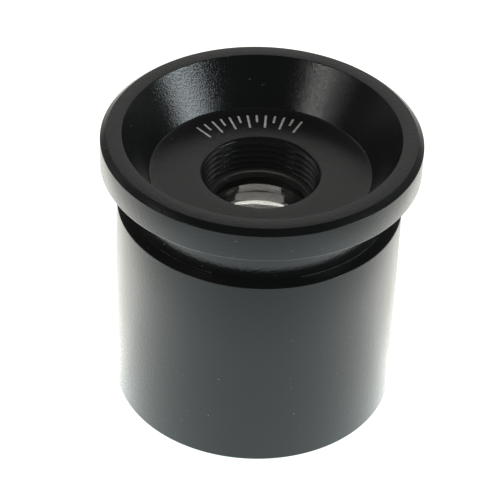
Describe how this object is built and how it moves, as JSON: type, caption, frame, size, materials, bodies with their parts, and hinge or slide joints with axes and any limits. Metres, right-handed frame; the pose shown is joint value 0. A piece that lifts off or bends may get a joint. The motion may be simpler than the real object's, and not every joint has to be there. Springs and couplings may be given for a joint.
{
  "type": "eyepiece",
  "caption": "Wide-field eyepiece: flanged eyecup with a conical bowl and threaded eye hole, screwed onto a push-fit barrel that holds the lenses and the field stop.",
  "frame": {"origin": "on the optical axis, in the plane of the barrel's lower end", "axes": "+Z along the optical axis, from the barrel towards the eye; X and Y are equal, because the piece is turned"},
  "size_m": [0.034, 0.034, 0.0324],
  "materials": {
    "barrel_anodised": "satin black anodised, fine turning marks",
    "head_anodised": "satin black anodised, fine turning marks",
    "inner_anodised": "matt black anodised",
    "coated_glass": "polished, anti-reflection coated"
  },
  "bodies": {
    "barrel": {"barrel": "barrel_anodised"},
    "optics": {"eye_flint": "coated_glass", "eye_crown": "coated_glass", "lens_spacer": "inner_anodised", "field_crown": "coated_glass", "field_flint": "coated_glass"},
    "head": {"eyecup_head": "head_anodised", "lens_cell": "inner_anodised", "field_retaining_ring": "inner_anodised"},
    "stop_plate": {"field_stop_disc": "inner_anodised"},
    "stop_ring": {"stop_retaining_ring": "inner_anodised"}
  },
  "joints": [
    {"name": "head_lift", "type": "slide", "parent": "barrel", "child": "optics", "axis": [0, 0, 1], "range_m": [0, 0.00337]},
    {"name": "head_turn", "type": "hinge", "parent": "optics", "child": "head", "pos_m": [0, 0, 0.0238], "axis": [0, 0, 1], "range_deg": [0, 1620]},
    {"name": "stop_travel", "type": "slide", "parent": "barrel", "child": "stop_plate", "axis": [0, 0, -1], "range_m": [0, 0.00225]},
    {"name": "stop_ring_turn", "type": "hinge", "parent": "stop_plate", "child": "stop_ring", "pos_m": [0, 0, 0.0042], "axis": [0, 0, -1], "range_deg": [0, 1080]}
  ],
  "couplings": [
    {"joint": "head_lift", "follows": "head_turn", "m_per_rad": 0.00011937},
    {"joint": "stop_travel", "follows": "stop_ring_turn", "m_per_rad": 0.00011937}
  ]
}
